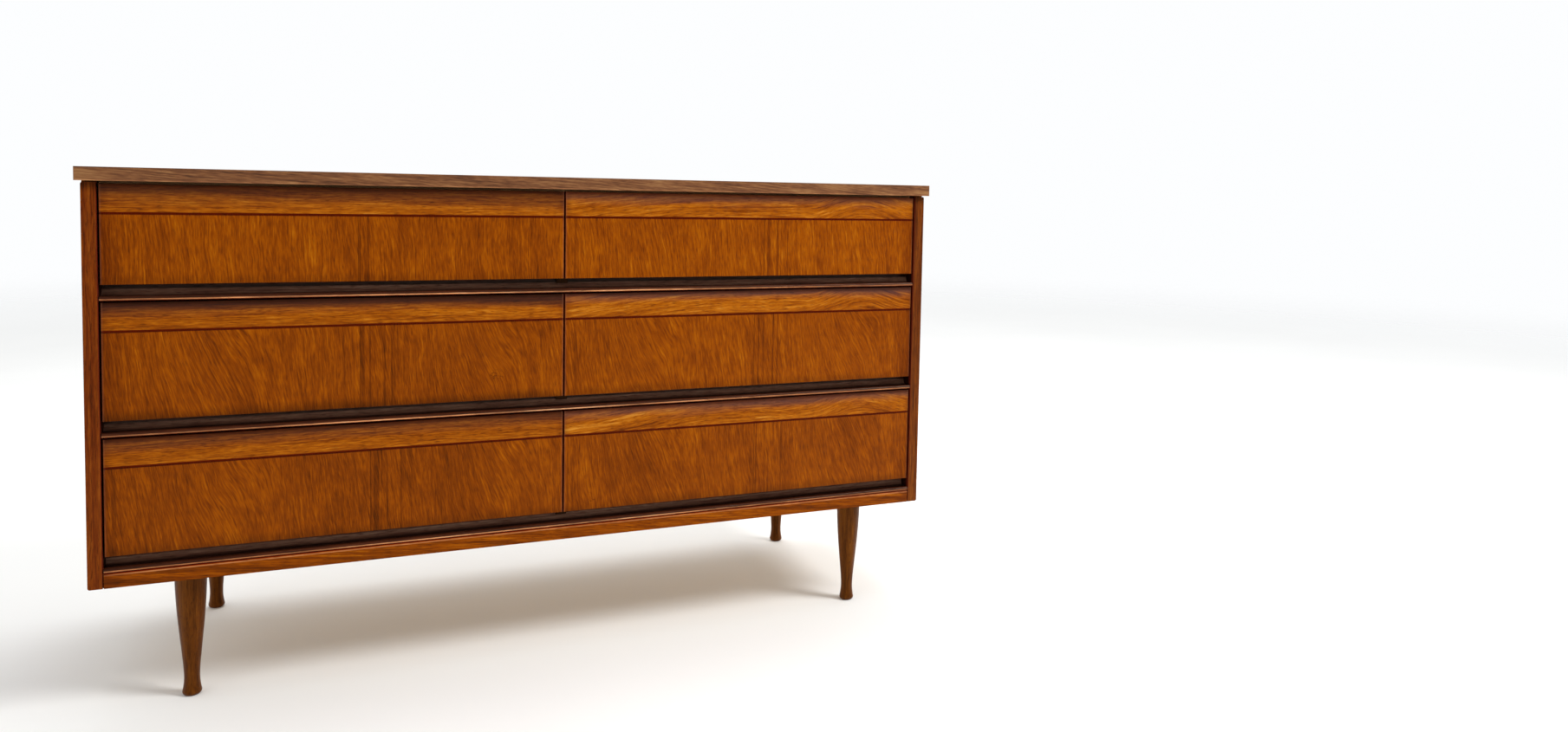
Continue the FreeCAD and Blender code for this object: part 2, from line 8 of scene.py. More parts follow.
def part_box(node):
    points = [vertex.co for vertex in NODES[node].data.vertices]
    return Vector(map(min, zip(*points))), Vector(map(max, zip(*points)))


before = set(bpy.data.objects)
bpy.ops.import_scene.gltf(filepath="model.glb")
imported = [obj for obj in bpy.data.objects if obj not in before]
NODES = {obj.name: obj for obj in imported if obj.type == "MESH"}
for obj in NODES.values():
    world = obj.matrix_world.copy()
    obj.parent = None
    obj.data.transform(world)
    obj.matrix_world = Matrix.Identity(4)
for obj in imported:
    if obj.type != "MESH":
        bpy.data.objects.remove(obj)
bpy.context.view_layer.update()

ALONG_X, ALONG_Y, ALONG_Z = 0, 1, 2


# ---------------------------------------------------------------- node building

def tone(code):
    """A colour for a shader, linear, from its six hex digits."""
    parts = [int(code[i:i + 2], 16) / 255 for i in (0, 2, 4)]
    return tuple(p / 12.92 if p < 0.04045 else ((p + 0.055) / 1.055) ** 2.4
                 for p in parts) + (1.0,)


class Value:
    """A number that a material works out at each point, written with ordinary arithmetic."""

    def __init__(self, tree, socket):
        self.tree, self.socket = tree, socket

    def __add__(self, other):
        return self.tree.math("ADD", self, other)

    def __sub__(self, other):
        return self.tree.math("SUBTRACT", self, other)

    def __mul__(self, other):
        return self.tree.math("MULTIPLY", self, other)

    def __rsub__(self, other):
        return self.tree.math("SUBTRACT", other, self)

    def __abs__(self):
        return self.tree.math("ABSOLUTE", self)

    __radd__, __rmul__ = __add__, __mul__

    def root(self):
        return self.tree.math("SQRT", self)

    def over(self, limit):
        """1 where the value is above the limit, and 0 elsewhere."""
        return self.tree.math("GREATER_THAN", self, limit)

    def least(self, other):
        return self.tree.math("MINIMUM", self, other)

    def rise(self, low, high):
        """0 up to low and 1 from high, with a smooth step between."""
        return self.tree.put("MapRange", {0: self, 1: low, 2: high, 3: 0.0, 4: 1.0},
                             interpolation_type="SMOOTHSTEP")

    def bell(self, middle, width):
        """1 at the middle, falling smoothly to 0 at the width on either side."""
        return 1 - abs(self - middle).rise(0.0, width)


class Tree:
    """A material's node tree, with short names for the nodes that the finishes use."""

    def __init__(self, name):
        self.material = bpy.data.materials.new(name)
        self.material.use_nodes = True
        self.nodes = self.material.node_tree.nodes
        self.links = self.material.node_tree.links
        self.shader = self.nodes["Principled BSDF"]

    def put(self, kind, feeds, output=0, **settings):
        node = self.nodes.new("ShaderNode" + kind)
        for key, value in settings.items():
            setattr(node, key, value)
        for key, value in feeds.items():
            self.feed(node.inputs[key], value)
        return Value(self, node.outputs[output])

    def feed(self, socket, value):
        if isinstance(value, Value):
            self.links.new(value.socket, socket)
        else:
            socket.default_value = value

    def math(self, operation, first, second=0.0):
        return self.put("Math", {0: first, 1: second}, operation=operation)

    def position(self):
        """The point's x, y and z in metres, in the frame of the closed dresser."""
        point = self.put("TexCoord", {}, output="Object")
        split = self.put("SeparateXYZ", {0: point}).socket.node
        return [Value(self, output) for output in split.outputs]

    def noise(self, x, y, z, detail=2.0, roughness=0.5):
        """Smooth noise from 0 to 1 at a point given in noise cells."""
        point = self.put("CombineXYZ", {0: x, 1: y, 2: z})
        return self.put("TexNoise", {"Vector": point, "Scale": 1.0, "Detail": detail,
                                     "Roughness": roughness})

    def cells(self, x, y, z, output="Distance"):
        """Cell noise: the distance to the nearest cell centre, or the cell's own colour."""
        point = self.put("CombineXYZ", {0: x, 1: y, 2: z})
        return self.put("TexVoronoi", {"Vector": point, "Scale": 1.0}, output=output)

    def ramp(self, value, stops):
        """A colour read off a scale of (place, colour) stops."""
        out = self.put("ValToRGB", {0: value})
        scale = out.socket.node.color_ramp
        while len(scale.elements) < len(stops):
            scale.elements.new(0.5)
        for element, (place, colour) in zip(scale.elements, stops):
            element.position, element.color = place, tone(colour)
        return out

    def blend(self, share, first, second, how="MIX"):
        """One colour laid over another by a share from 0 to 1."""
        return self.put("Mix", {0: share, 6: first, 7: second}, output=2,
                        data_type="RGBA", blend_type=how)

    def darken(self, colour, share, deep):
        """A colour multiplied towards a deep one by a share from 0 to 1."""
        return self.blend(share, colour, tone(deep), how="MULTIPLY")

    def finish(self, colour, roughness, height, relief, **fixed):
        """Sends the results to the shader. Relief is the height's depth in metres."""
        self.feed(self.shader.inputs["Base Color"], colour)
        self.feed(self.shader.inputs["Roughness"], roughness)
        bump = self.put("Bump", {"Strength": 1.0, "Distance": relief, "Height": height})
        self.feed(self.shader.inputs["Normal"], bump)
        for key, value in fixed.items():
            self.shader.inputs[key].default_value = value
        return self.material


def dress(material, *names):
    """Gives a material to CAD nodes."""
    for name in names:
        for slot in NODES[name].material_slots:
            slot.material = material


# ---------------------------------------------------------------- colours

VENEER = [(0.24, "4e1e00"), (0.38, "6a2c00"), (0.50, "813900"), (0.62, "994b00"),
          (0.80, "b96c0a")]
GOLDEN = [(0.24, "662a02"), (0.38, "853e03"), (0.50, "9b4f05"), (0.62, "b1630c"),
          (0.80, "cd872c")]
SIDE = [(0.26, "421a04"), (0.42, "5e2b08"), (0.56, "763b0c"), (0.78, "945519")]
REDDISH = [(0.26, "421503"), (0.42, "642506"), (0.56, "7a3609"), (0.78, "945014")]
BROWN = [(0.26, "401805"), (0.42, "612a0a"), (0.56, "783b0e"), (0.78, "92561a")]
STAINED = [(0.26, "120302"), (0.50, "260a06"), (0.78, "3f170b")]
NOSE = [(0.25, "240c04"), (0.50, "3a1607"), (0.75, "53240d")]
# pale palette for painted highlights, and for wear along the rail noses
WEAR_AND_HIGHLIGHT = [(0.25, "8e5030"), (0.50, "bc7848"), (0.75, "f2a66c"), (1.0, "ffc894")]
# greyish palette for the painted sheen in the rail troughs
PAINTED_SHEEN = [(0.25, "744838"), (0.50, "9a6c55"), (0.75, "b88d74")]
LEG = [(0.26, "3c1c05"), (0.42, "522808"), (0.56, "62330b"), (0.78, "744212")]
PRINTED = [(0.28, "42240f"), (0.43, "643b1f"), (0.55, "7e502d"), (0.80, "a17648")]
FLAKES = [(0.10, "8a6a44"), (0.50, "b8966a"), (0.90, "d8bd92")]
POPLAR = [(0.25, "8d6236"), (0.45, "ab7d4b"), (0.60, "c0935f"), (0.80, "d2aa79")]
HARDBOARD = [(0.25, "4b2f1d"), (0.50, "6d4a30"), (0.75, "8b6644")]
STEEL = [(0.30, "6f6c66"), (0.55, "9a978f"), (0.75, "b9b6ad")]
NYLON = [(0.30, "cfc6ae"), (0.60, "e6e0cf"), (0.80, "efebe0")]
PALE = [(0.20, "f2f2f0"), (0.80, "f8f8f6")]

# Single colours: open pores, toned edges, painted shade, a painted grey reflection haze over that
# shade, painted shade at corners beside recesses, painted shade in the joints and grooves under an
# edge, painted shade in the narrow gaps beside the drawers, and the dulled rims along those.
PORE, TONING, SHADE, REFLECTED_HAZE = "5a3428", "b08c84", "6c5a70", "54464e"
EDGE_SHADE, CREVICE_SHADE, GAP_SHADE, RIM = "964c40", "6e1400", "642010", "8c5840"
LACQUER = {"Specular IOR Level": 0.16, "Specular Tint": (1.0, 0.62, 0.25, 1.0)}
POLISH = {"Specular IOR Level": 0.22, "Specular Tint": (1.0, 0.78, 0.60, 1.0)}


# ---------------------------------------------------------------- walnut

SKIN = 0.0002                                    # a face reaches this far from its plane
VENEER_TRIM, VENEER_HEART, LEAN = 0.045, 0.175, 0.03
SIDE_JOINT, SIDE_REACH, SIDE_HEART, SIDE_BOW = 0.004, 0.235, 0.115, 0.10
SIDE_SHADE_REACH = -0.165, -0.150                      # where the painted shade on a case side's inside ends
NEXT_LEAF = 0.4                                  # how far apart two leaves are in the log


def fibres(t, across, depth, along, cut):
    """The fine marks in any walnut: short fibre streaks, and open pores from 0 to 1."""
    streaks = t.noise(across * 480, depth * 480, along * 32 + cut)
    pores = t.noise(across * 1300, depth * 1300, along * 75 + cut, detail=1.0)
    return streaks, pores.rise(0.56, 0.68)


def lacquered(t, colour, streaks, pores, base=0.36, filled=0.5, **gloss):
    """Ends a walnut finish: satin lacquer that sinks a little into the open pores."""
    colour = t.darken(colour, pores * filled, PORE)
    roughness = base + (streaks - 0.5) * 0.16 + pores * 0.18
    return t.finish(colour, roughness, streaks * 0.35 - pores, 0.00012, **(gloss or LACQUER))


def leaf(t, u, w, lean, heart, bow, cut):
    """Sliced veneer: u runs across a leaf and w up it. Its grain leans, most about the heart.

    Returns the shade from 0 to 1, the streaks and the pores.
    """
    sway = t.noise(u * 9, w * 6, cut) - 0.5
    shake = t.noise(u * 40, w * 14, cut + 2.9) - 0.5
    v = u + w * (lean + u.bell(heart, 0.095) * bow) + sway * 0.022 + shake * 0.006
    wide = t.noise(v * 60, w * 2, cut, detail=1.0) - 0.5
    lines = t.noise(v * 430, w * 24, cut + 3.7) - 0.5
    hairs = 1 - abs(t.noise(v * 140, w * 5, cut + 6.3, detail=1.0) - 0.5).rise(0.0, 0.04)
    gleams = t.noise(v * 260, w * 12, cut + 7.1, detail=1.0).rise(0.60, 0.76)
    flecks = t.noise(v * 560, w * 75, cut + 8.8, detail=1.0) - 0.5
    mottle = t.noise(v * 50, w * 34, cut + 4.4, detail=1.0) - 0.5
    patch = t.noise(u * 13, w * 7, cut + 5.2) - 0.5
    streaks, pores = fibres(t, v, 0.0, w, cut)
    shade = (0.525 + wide * 0.15 + lines * 0.23 - hairs * 0.08 + gleams * 0.07 + flecks * 0.28
             + mottle * 0.13 + (streaks - 0.5) * 0.36 + patch * 0.21)
    return shade, streaks, pores


def drawer_veneer(name, box, slot, seam, bow, tint, edging, foot, marks, cut):
    """Two slip-matched leaves with upright grain, toned dark at the outer edge, painted shade at
    the foot.

    Slot is the groove above the field: the y of its floor, and the z of its foot and head.
    """
    t = Tree(name)
    x, y, z = t.position()
    low, high = box
    right = x.over(seam)
    u = x - (low.x - VENEER_TRIM) - right * (seam - low.x + VENEER_TRIM)
    w = z - low.z
    shade, streaks, pores = leaf(t, u, w, LEAN + bow * 0.36, VENEER_HEART, bow,
                                 right * NEXT_LEAF + cut)
    quarter = 1 - u.rise(0.030, 0.085)
    stripe = t.noise(u * 190, w * 1.2, cut + 9.1, detail=1.0).rise(0.50, 0.64) * quarter
    colour = t.ramp(shade - stripe * 0.15 + tint, VENEER)
    edge = x - low.x if low.x < 0 else high.x - x
    wander = (t.noise(x * 16, 0.0, z * 16 + cut, detail=1.0) - 0.5) * 0.012
    colour = t.darken(colour, (1 - (edge + wander).rise(0.0, 0.034)) * edging, TONING)
    # painted shade along the foot of the field, above the rail's trough
    colour = t.darken(colour, (1 - (w + wander).rise(-0.002, 0.018)) * foot, SHADE)
    for spot_x, spot_z, wide, tall in marks:
        ragged = t.noise(x * 240, y, z * 420 + cut, detail=3.0, roughness=0.7).rise(0.50, 0.62)
        here = x.bell(spot_x, wide) * z.bell(spot_z, tall)
        colour = t.darken(colour, here.rise(0.02, 0.4) * ragged * 0.8, PORE)
    joint = 1 - abs(x - seam).rise(0.0002, 0.0009)
    colour = t.darken(colour, joint * 0.6, PORE)
    # painted shade in the groove over the field: on its floor and along its lower edge
    floor, foot_z, head_z = slot
    near = (1 - z.over(head_z)) * (1 - y.over(floor + SKIN))
    colour = t.darken(colour, (z - foot_z).rise(-0.0014, -SKIN) * near, EDGE_SHADE)
    inside = z.over(foot_z) * near
    colour = t.blend(inside * (y - low.y).rise(SKIN, 0.0005), colour, tone(CREVICE_SHADE))
    colour = front_ends(t, colour, x, low, high)
    return lacquered(t, colour, streaks, pores, filled=0.36)


def front_ends(t, colour, x, low, high):
    """Dulled corners at both ends of a drawer front, and painted shade on the end faces beyond
    them.
    """
    ends = (x - low.x).least(high.x - x)
    colour = t.blend((1 - ends.rise(0.0010, 0.0030)) * 0.24, colour, tone(RIM))
    # painted shade on the end faces, down in the gaps beside the drawer
    return t.blend(1 - ends.rise(SKIN, 0.0005), colour, tone(GAP_SHADE))


def band_walnut(name, box, tint, hills, bold, glow, haze_reflection, brow, reach, cut):
    """A lengthwise band of lighter walnut, with painted shade on its face along the top, down to
    reach.

    Tint is how much paler it is than most, hills are the (start, width, height) of the slopes in
    its grain, bold is how strong the broad figure is and glow how pale its streak is. The haze
    share is how strong a painted grey reflection haze is along the top, and brow how dark the
    painted shade is there.
    """
    t = Tree(name)
    x, y, z = t.position()
    low, high = box
    u = x - low.x
    w = z - low.z
    sway = t.noise(u * 6, w * 16, cut) - 0.5
    shake = t.noise(u * 35, w * 60, cut + 1.3) - 0.5
    v = w + sway * 0.010 + shake * 0.0016
    for start, width, height in hills:
        v = v - u.rise(start, start + width) * height
    wide = t.noise(v * 75, u * 2.5, cut, detail=1.0) - 0.5
    lines = t.noise(v * 330, u * 13, cut + 4.4) - 0.5
    hairs = 1 - abs(t.noise(v * 150, u * 5.0, cut + 6.1, detail=1.0) - 0.5).rise(0.0, 0.05)
    dashes = t.noise(v * 900, u * 80, cut + 8.0, detail=1.0).rise(0.58, 0.72)
    flecks = t.noise(v * 480, u * 70, cut + 2.6, detail=1.0) - 0.5
    streaks, pores = fibres(t, v, 0.0, u, cut)
    streak = v.bell(0.006, 0.009) * (1 - u.rise(0.22, 0.45)) * (lines * 2 + 0.4) * glow
    shade = (0.52 + wide * bold + lines * 0.40 - hairs * 0.12 - dashes * 0.16 + flecks * 0.24
             + (streaks - 0.5) * 0.46 + streak + tint)
    colour = t.ramp(shade, GOLDEN)
    ends = (x - low.x).least(high.x - x)
    depth = high.z - z
    seen = 1 - y.over(high.y - 0.0006)
    colour = t.darken(colour, (1 - ends.rise(0.0, 0.014)) * 0.4, TONING)
    # painted shade under the overhang above, its lower edge following the grain
    ragged = depth + wide * 0.018
    colour = t.darken(colour, (1 - ragged.rise(0.002, reach)) * seen * brow, SHADE)
    # a painted grey reflection haze over that painted shade
    colour = t.blend((1 - ragged.rise(0.004, reach + 0.006)) * seen * haze_reflection, colour, tone(REFLECTED_HAZE))
    # painted shade: darkest in the first millimetres under the overhang, and on the lower face over
    # the groove
    colour = t.darken(colour, (1 - depth.rise(0.0012, 0.0072)) * seen * 0.80, EDGE_SHADE)
    colour = t.darken(colour, 1 - w.rise(SKIN, 0.0010), EDGE_SHADE)
    colour = front_ends(t, colour, x, low, high)
    return lacquered(t, colour, streaks, pores)


def sawn_walnut(t, place, along, scale, stops, cut):
    """The colour, streaks and pores of plain sawn walnut with its grain along one axis."""
    run = place[along]
    a, b = [value for axis, value in enumerate(place) if axis != along]
    sway = t.noise(a * 9, b * 9, run * 3 + cut) - 0.5
    a = a + sway * 0.020
    wide = t.noise(a * 55 * scale, b * 55 * scale, run * 1.8 + cut, detail=1.0)
    lines = t.noise(a * 240 * scale, b * 240 * scale, run * 4 + cut)
    streaks, pores = fibres(t, a, b, run, cut)
    shade = 0.5 + (wide - 0.5) * 0.6 + (lines - 0.5) * 0.5 + (streaks - 0.5) * 0.5
    return t.ramp(shade, stops), streaks, pores


def solid_walnut(name, along, scale, stops, cut, base=0.38):
    """Sawn walnut under lacquer, with no shading of its own."""
    t = Tree(name)
    colour, streaks, pores = sawn_walnut(t, t.position(), along, scale, stops, cut)
    return lacquered(t, colour, streaks, pores, base)


def side_walnut(name, inner, cut):
    """A case side: two tall leaves of veneer outside, and bare wood towards the drawers, with
    painted shade near the front.
    """
    t = Tree(name)
    x, y, z = t.position()
    second = y.over(SIDE_JOINT)
    u = y + SIDE_REACH - second * (SIDE_REACH + 0.001)
    shade, streaks, pores = leaf(t, u, z, LEAN, SIDE_HEART, SIDE_BOW, second * NEXT_LEAF + cut)
    outside = t.ramp(shade, SIDE)
    # painted shade: the inside goes dark near the front, where the troughs and gaps look in
    inside = t.blend(y.rise(*SIDE_SHADE_REACH), t.ramp(shade, STAINED), t.ramp(shade, POPLAR))
    colour = t.blend(abs(x).rise(inner + SKIN, inner + 0.0008), inside, outside)
    return lacquered(t, colour, streaks, pores, 0.4)


def lipping_walnut(name, inner, top, stops, cut):
    """The solid front edge of a case side, with painted shade inside the opening and under the top.
    """
    t = Tree(name)
    place = x, y, z = t.position()
    colour, streaks, pores = sawn_walnut(t, place, ALONG_Z, 1.6, stops, cut)
    # painted shade on the inner face in the opening, and below the top
    colour = t.blend(1 - abs(x).rise(inner + SKIN, inner + 0.0008), colour, tone(GAP_SHADE))
    colour = t.darken(colour, (1 - (top - z).rise(0.001, 0.016)) * 0.7, SHADE)
    return lacquered(t, colour, streaks, pores)


def rail_walnut(name, box, cut):
    """A pull rail: brown nose with wear and a painted highlight along it, a stained trough with
    painted sheen.
    """
    t = Tree(name)
    x, y, z = t.position()
    back = y - box[0].y
    lift = z - box[0].z
    streaks, pores = fibres(t, z, y, x, cut)
    lines = t.noise(z * 300, y * 300, x * 5 + cut)
    shade = 0.5 + (streaks - 0.5) * 0.6 + (lines - 0.5) * 0.7
    # painted sheen: the lighter grey band across the trough is a painted reflection
    dulled = lift.rise(0.0042, 0.0075) * (1 - lift.rise(0.0125, 0.0155)) * back.rise(0.012, 0.019)
    cloud = t.noise(x * 7, lift * 60, cut, detail=3.0)
    colour = t.blend(dulled * (0.6 + cloud * 0.6), t.ramp(shade, STAINED), t.ramp(shade, PAINTED_SHEEN))
    nose = 1 - back.rise(0.0058, 0.0080)
    colour = t.blend(nose, colour, t.ramp(shade, NOSE))
    # a line of wear and painted highlight along the nose
    rubbed = t.noise(x * 5.5, 0.0, cut, detail=4.0, roughness=0.7).rise(0.34, 0.62)
    line = nose * (1 - back.rise(0.0008, 0.0018)) * lift.bell(0.0020, 0.0015).rise(0.0, 0.6)
    # painted highlight, brighter towards the middle where the light falls
    pale = shade + x.bell(0.0, 0.62) * 0.30
    colour = t.blend(line * (0.35 + rubbed * 0.65), colour, t.ramp(pale, WEAR_AND_HIGHLIGHT))
    # painted shade under the nose, along the rail's lower edge
    colour = t.blend(1 - lift.rise(0.0003, 0.0012), colour, tone(CREVICE_SHADE))
    return lacquered(t, colour, streaks, pores, 0.32, **POLISH)


def apron_walnut(name, box, cut):
    """The strip under the lowest rail, with painted highlight and wear along its top, below painted
    shade in the joint.
    """
    t = Tree(name)
    x, y, z = t.position()
    colour, streaks, pores = sawn_walnut(t, (x, y, z + x * 0.10), ALONG_X, 2.2, VENEER, cut)
    depth = box[1].z - z
    # painted highlight and wear along the rounded top edge
    rubbed = t.noise(x * 6, 0.0, cut, detail=4.0, roughness=0.7).rise(0.30, 0.65)
    line = depth.bell(0.0024, 0.0014).rise(0.0, 0.6) * (0.3 + rubbed * 0.7)
    colour = t.blend(line, colour, t.ramp(0.4 + streaks * 0.2, WEAR_AND_HIGHLIGHT))
    # painted shade in the joint under the rail's nose
    colour = t.blend(1 - depth.rise(0.0006, 0.0014), colour, tone(CREVICE_SHADE))
    ends = (x - box[0].x).least(box[1].x - x)
    colour = t.darken(colour, (1 - ends.rise(0.0, 0.040)) * 0.6, TONING)
    return lacquered(t, colour, streaks, pores)


# ---------------------------------------------------------------- other finishes

def laminate_print(name, box, slant, cut):
    """Melamine sheet printed as greyed walnut, its strokes along the slab and across its ends.

    The strokes run downhill by the slant, and the lower edge carries a painted highlight.
    """
    t = Tree(name)
    x, y, z = t.position()
    ends = abs(x).over(box[1].x - 0.0003)
    run = x + (y - x) * ends
    across = y * (1 - ends) + z + run * slant
    sway = t.noise(run * 2.2, across * 7, cut) - 0.5
    v = across + sway * 0.024
    wide = t.noise(v * 70, run * 2.0, cut)
    lines = t.noise(v * 360, run * 16, cut + 2.0)
    dashes = t.noise(v * 640, run * 70, cut, detail=1.0)
    shade = 0.5 + (wide - 0.5) * 0.42 + (lines - 0.5) * 0.64 + (dashes - 0.5) * 0.36
    colour = t.ramp(shade, PRINTED)
    # painted highlight along the lower edge
    lit_edge = 1 - (z - box[0].z).rise(0.0004, 0.0022)
    colour = t.blend(lit_edge * 0.30, colour, t.ramp(shade, WEAR_AND_HIGHLIGHT))
    roughness = 0.36 + (t.noise(x * 30, y * 30, z * 30, detail=3.0) - 0.5) * 0.12
    grit = t.noise(x * 1800, y * 1800, z * 1800, detail=1.0)
    return t.finish(colour, roughness, grit, 0.00003, **{"Specular IOR Level": 0.30})


def chip_board(name):
    """Pressed flakes of pale softwood, bare along the rear edge."""
    t = Tree(name)
    x, y, z = t.position()
    flakes = t.put("SeparateColor", {0: t.cells(x * 320, y * 320, z * 900, output="Color")})
    fine = t.noise(x * 1500, y * 1500, z * 1500)
    colour = t.ramp(flakes * 0.7 + fine * 0.3, FLAKES)
    return t.finish(colour, 0.7 + fine * 0.2, flakes + fine, 0.0002)


def plain_grain(t, a, b, run, cut, base):
    """Unfigured secondary timber: faint lines, fine grain and a little soiling."""
    sway = (t.noise(a * 8, b * 8, run * 2.5 + cut) - 0.5) * 0.02
    lines = t.noise((a + sway) * 150, b * 150, run * 2.5 + cut)
    fine = t.noise(a * 900, b * 900, run * 20 + cut)
    soil = t.noise(a * 11, b * 11, run * 7 + cut, detail=3.0)
    shade = 0.5 + (lines - 0.5) * 0.7 + (fine - 0.5) * 0.5 + (soil - 0.5) * 0.3
    return t.finish(t.ramp(shade, POPLAR), base + (fine - 0.5) * 0.2, fine + lines * 0.4, 0.00012)


def plain_wood(name, along, cut):
    """Unfigured timber with its grain along one axis."""
    t = Tree(name)
    place = t.position()
    a, b = [value for axis, value in enumerate(place) if axis != along]
    return plain_grain(t, a, b, place[along], cut, 0.55)


def drawer_box_wood(name, box, thick, cut):
    """Drawer box timber, whose grain follows each board: side to side at the front and back."""
    t = Tree(name)
    x, y, z = t.position()
    low, high = box
    sides = 1 - (x - low.x).least(high.x - x).over(thick)
    run = sides * y + (1 - sides) * x
    across = sides * x + (1 - sides) * y
    return plain_grain(t, z, across, run + sides * 3.1, cut, 0.48)


def hardboard(name):
    """Pressed brown fibre board, smooth on its face."""
    t = Tree(name)
    x, y, z = t.position()
    cloud = t.noise(x * 22, y * 22, z * 22, detail=4.0, roughness=0.6)
    fibre = t.noise(x * 900, y * 900, z * 900, detail=3.0)
    hairs = t.cells(x * 260, y * 260, z * 60)
    shade = 0.5 + (cloud - 0.5) * 0.3 + (fibre - 0.5) * 0.6 + (hairs - 0.5) * 0.15
    return t.finish(t.ramp(shade, HARDBOARD), 0.55 + (fibre - 0.5) * 0.3, fibre, 0.0001)


def bare_steel(name):
    """Zinc-plated steel, dulled, with fine scratches."""
    t = Tree(name)
    x, y, z = t.position()
    cloud = t.noise(x * 120, y * 120, z * 120, detail=4.0, roughness=0.65)
    scratch = t.noise(x * 1500, y * 1500, z * 180, detail=1.0)
    return t.finish(t.ramp(cloud, STEEL), 0.28 + cloud * 0.3, scratch, 0.00003, Metallic=1.0)


def white_nylon(name):
    """Moulded nylon, yellowed a little and scuffed."""
    t = Tree(name)
    x, y, z = t.position()
    scuff = t.noise(x * 90, y * 40, z * 200, detail=4.0)
    return t.finish(t.ramp(scuff, NYLON), 0.4 + (scuff - 0.5) * 0.3, scuff, 0.00005)


# ---------------------------------------------------------------- dressing the dresser

# For each drawer: where its two leaves meet, how far their grain bows, how much paler it is than
# most, how far its outer edge is toned, how far its foot and the top of its band carry painted
# shade, how far down the band's painted shade reaches, and its small scars as (x, z, width,
# height).
DRAWERS = {
    ("top", "left"): (-0.306, 0.06, 0.01, 0.60, 0.25, 0.80, 0.034, []),
    ("middle", "left"): (-0.304, 0.26, 0.0, 0.46, 0.65, 1.0, 0.020,
                         [(-0.105, 0.461, 0.016, 0.010), (-0.628, 0.452, 0.006, 0.003)]),
    ("bottom", "left"): (-0.290, 0.24, -0.035, 0.30, 0.40, 0.78, 0.020, []),
    ("top", "right"): (0.343, 0.10, 0.035, 0.60, 0.05, 0.45, 0.017, []),
    ("middle", "right"): (0.327, 0.28, 0.015, 0.60, 0.32, 0.84, 0.014, []),
    ("bottom", "right"): (0.330, 0.26, 0.0, 0.15, 0.36, 0.60, 0.017,
                          [(0.048, 0.245, 0.010, 0.004)]),
}
# For each column: the slopes in its bands' grain, how bold that is, how pale its streak is, and
# how strong the painted grey reflection haze is at its top.
BAND_GRAIN = {"left": ([(0.20, 0.25, 0.004)], 0.28, 0.0, 0.10),
              "right": ([(-0.08, 0.36, 0.034), (0.42, 0.11, 0.026), (0.53, 0.12, -0.026)],
                        0.32, 0.17, 0.30)}
GROOVE_DEPTH, GROOVE_WIDTH = 0.0015, 0.0024
BOX_SIDE = 0.0122                                # a drawer box side and a hair more


def dress_drawers():
    for index, ((row, column), shading) in enumerate(DRAWERS.items()):
        seam, bow, tint, edging, foot, brow, reach, marks = shading
        drawer = f"drawer_{row}_{column}"
        cut = 1.7 * index
        hills, bold, glow, haze_reflection = BAND_GRAIN[column]
        front, band, inside = [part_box(f"{drawer}_{part}") for part in ("front", "band", "box")]
        slot = front[0].y + GROOVE_DEPTH, band[0].z - GROOVE_WIDTH, band[0].z
        dress(drawer_veneer(f"{drawer}_veneer", front, slot, seam, bow, tint, edging, foot, marks,
                            cut), f"{drawer}_front")
        dress(band_walnut(f"{drawer}_band_walnut", band, tint, hills, bold, glow, haze_reflection, brow,
                          reach, cut), f"{drawer}_band")
        dress(drawer_box_wood(f"{drawer}_poplar", inside, BOX_SIDE, cut), f"{drawer}_box")


def dress_case():
    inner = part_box("side_panel_right")[0].x
    dress(side_walnut("side_veneer", inner, 2.0), "side_panel_left", "side_panel_right")
    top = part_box("side_lipping_right")[1].z
    dress(lipping_walnut("left_edge_walnut", inner, top, REDDISH, 5.0), "side_lipping_left")
    dress(lipping_walnut("right_edge_walnut", inner, top, BROWN, 5.0), "side_lipping_right")
    dress(apron_walnut("apron_walnut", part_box("base_apron"), 7.0), "base_apron")
    dress(solid_walnut("stained_walnut", ALONG_Z, 1.2, STAINED, 8.0), "centre_stile")
    dress(solid_walnut("leg_walnut", ALONG_Z, 1.0, LEG, 9.0, base=0.34),
          "leg_front_left", "leg_front_right", "leg_rear_left", "leg_rear_right")
    for index, rail in enumerate(("front_rail_upper", "front_rail_lower", "front_rail_base")):
        dress(rail_walnut(f"{rail}_walnut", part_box(rail), 1.3 + 2.9 * index), rail)
    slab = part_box("top_edge_bands")
    dress(laminate_print("laminate_face", slab, 0.0, 3.0), "top_laminate")
    dress(laminate_print("laminate_edge", slab, 0.075, 4.0), "top_edge_bands")
    dress(chip_board("chip_board"), "top_panel", "bottom_panel")


def dress_hidden_parts():
    drawers = [f"drawer_{row}_{column}" for row, column in DRAWERS]
    dress(plain_wood("poplar_long", ALONG_X, 4.0), "top_batten_front", "top_batten_rear",
          "rear_rails")
    dress(plain_wood("poplar_deep", ALONG_Y, 6.0), "centre_partition", "drawer_bearers",
          "centre_guides", "top_cleats", *[f"{drawer}_guide_strips" for drawer in drawers])
    dress(hardboard("brown_hardboard"), "back_panel", *[f"{drawer}_bottom" for drawer in drawers])
    dress(bare_steel("dull_steel"), "leg_plates", "leg_bolts", "plate_screws", "back_nails")
    dress(white_nylon("white_nylon"), "nylon_glides")


# ---------------------------------------------------------------- the studio

FRONT_SKY, REAR_SKY, SKY_TURN = 0.36, 1.0, (-0.9, 0.2)
FLOOR_RADIUS, FLOOR_FADE = 9, (2.2, 8.5)


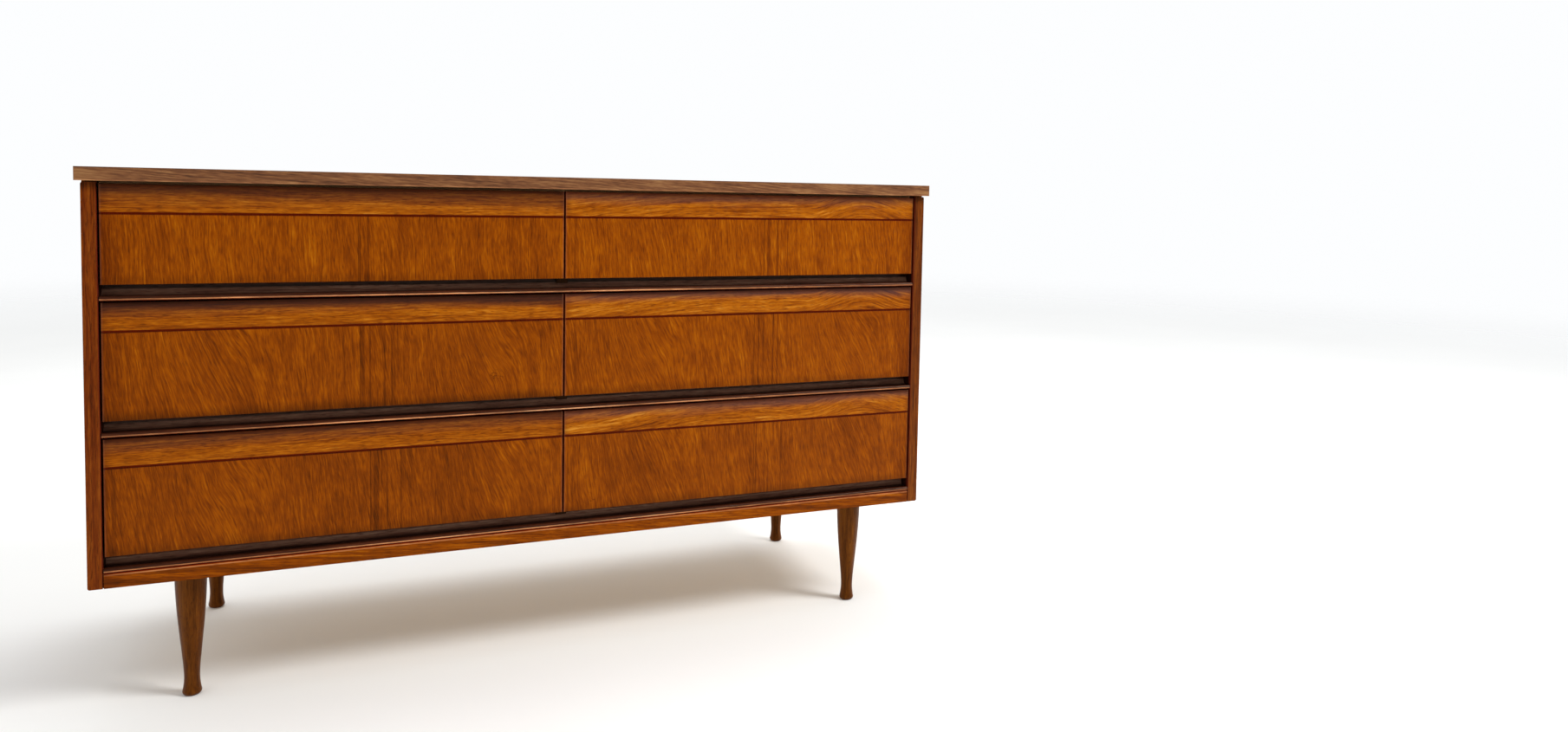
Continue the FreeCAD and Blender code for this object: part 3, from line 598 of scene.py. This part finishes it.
def make_floor():
    """A wide pale floor disc under the feet, fading into the backdrop far from the dresser."""
    bpy.ops.mesh.primitive_circle_add(vertices=96, radius=FLOOR_RADIUS, fill_type="NGON")
    floor = bpy.context.object
    floor.name = "studio_floor"
    t = Tree("pale_floor")
    x, y, z = t.position()
    cloud = t.noise(x * 1.2, y * 1.2, z)
    floor.data.materials.append(t.finish(t.ramp(cloud, PALE), 0.8 + cloud * 0.1, cloud, 0.0001))
    clear = t.put("BsdfTransparent", {})
    fade = (x * x + y * y).root().rise(*FLOOR_FADE)
    mixed = t.put("MixShader", {0: fade, 1: Value(t, t.shader.outputs[0]), 2: clear})
    t.feed(t.nodes["Material Output"].inputs["Surface"], mixed)


def make_sky():
    """An even studio surround, paler behind the dresser than in front."""
    world = bpy.data.worlds.new("soft_sky")
    bpy.context.scene.world = world
    world.use_nodes = True
    nodes, links = world.node_tree.nodes, world.node_tree.links
    spot = nodes.new("ShaderNodeTexCoord")
    split = nodes.new("ShaderNodeSeparateXYZ")
    share = nodes.new("ShaderNodeMapRange")
    share.interpolation_type = "SMOOTHSTEP"
    for index, value in enumerate((*SKY_TURN, FRONT_SKY, REAR_SKY), start=1):
        share.inputs[index].default_value = value
    links.new(spot.outputs["Generated"], split.inputs[0])
    links.new(split.outputs["Y"], share.inputs[0])
    links.new(share.outputs[0], nodes["Background"].inputs["Strength"])
    nodes["Background"].inputs["Color"].default_value = (0.98, 0.99, 1.0, 1.0)


def make_light(name, place, aim, size, power):
    """A round soft light at a place, turned towards its aim."""
    data = bpy.data.lights.new(name, "AREA")
    data.shape = "DISK"
    data.size, data.energy = size, power
    lamp = bpy.data.objects.new(name, data)
    bpy.context.scene.collection.objects.link(lamp)
    lamp.location = place
    lamp.rotation_euler = (Vector(aim) - Vector(place)).to_track_quat("-Z", "Y").to_euler()


def make_lights():
    make_light("key_light", (3.0, -2.1, 3.3), (0.2, 0.0, 0.4), 1.6, 152)
    make_light("fill_light", (-2.8, -2.2, 1.8), (0.0, 0.0, 0.4), 2.2, 9)
    make_light("top_light", (0.4, 1.2, 3.4), (0.2, 0.4, 0.0), 2.6, 45)


def make_camera():
    """Stands left of the middle at the height of the top, turned right and tipped down."""
    yaw, pitch, roll = radians(24.119), radians(3.298), radians(1.200)
    data = bpy.data.cameras.new("camera")
    data.sensor_width, data.lens = 36.0, 25.345
    data.shift_x, data.shift_y = -0.0296, -0.0725
    camera = bpy.data.objects.new("camera", data)
    bpy.context.scene.collection.objects.link(camera)
    turn = (Matrix.Rotation(-yaw, 4, "Z") @ Matrix.Rotation(pi / 2 - pitch, 4, "X")
            @ Matrix.Rotation(roll, 4, "Z"))
    camera.matrix_world = Matrix.Translation((-0.3349, -2.0123, 0.7656)) @ turn
    bpy.context.scene.camera = camera


make_camera()
make_floor()
make_sky()
make_lights()
dress_case()
dress_drawers()
dress_hidden_parts()
bpy.context.scene.view_settings.view_transform = "Standard"
bpy.context.view_layer.update()
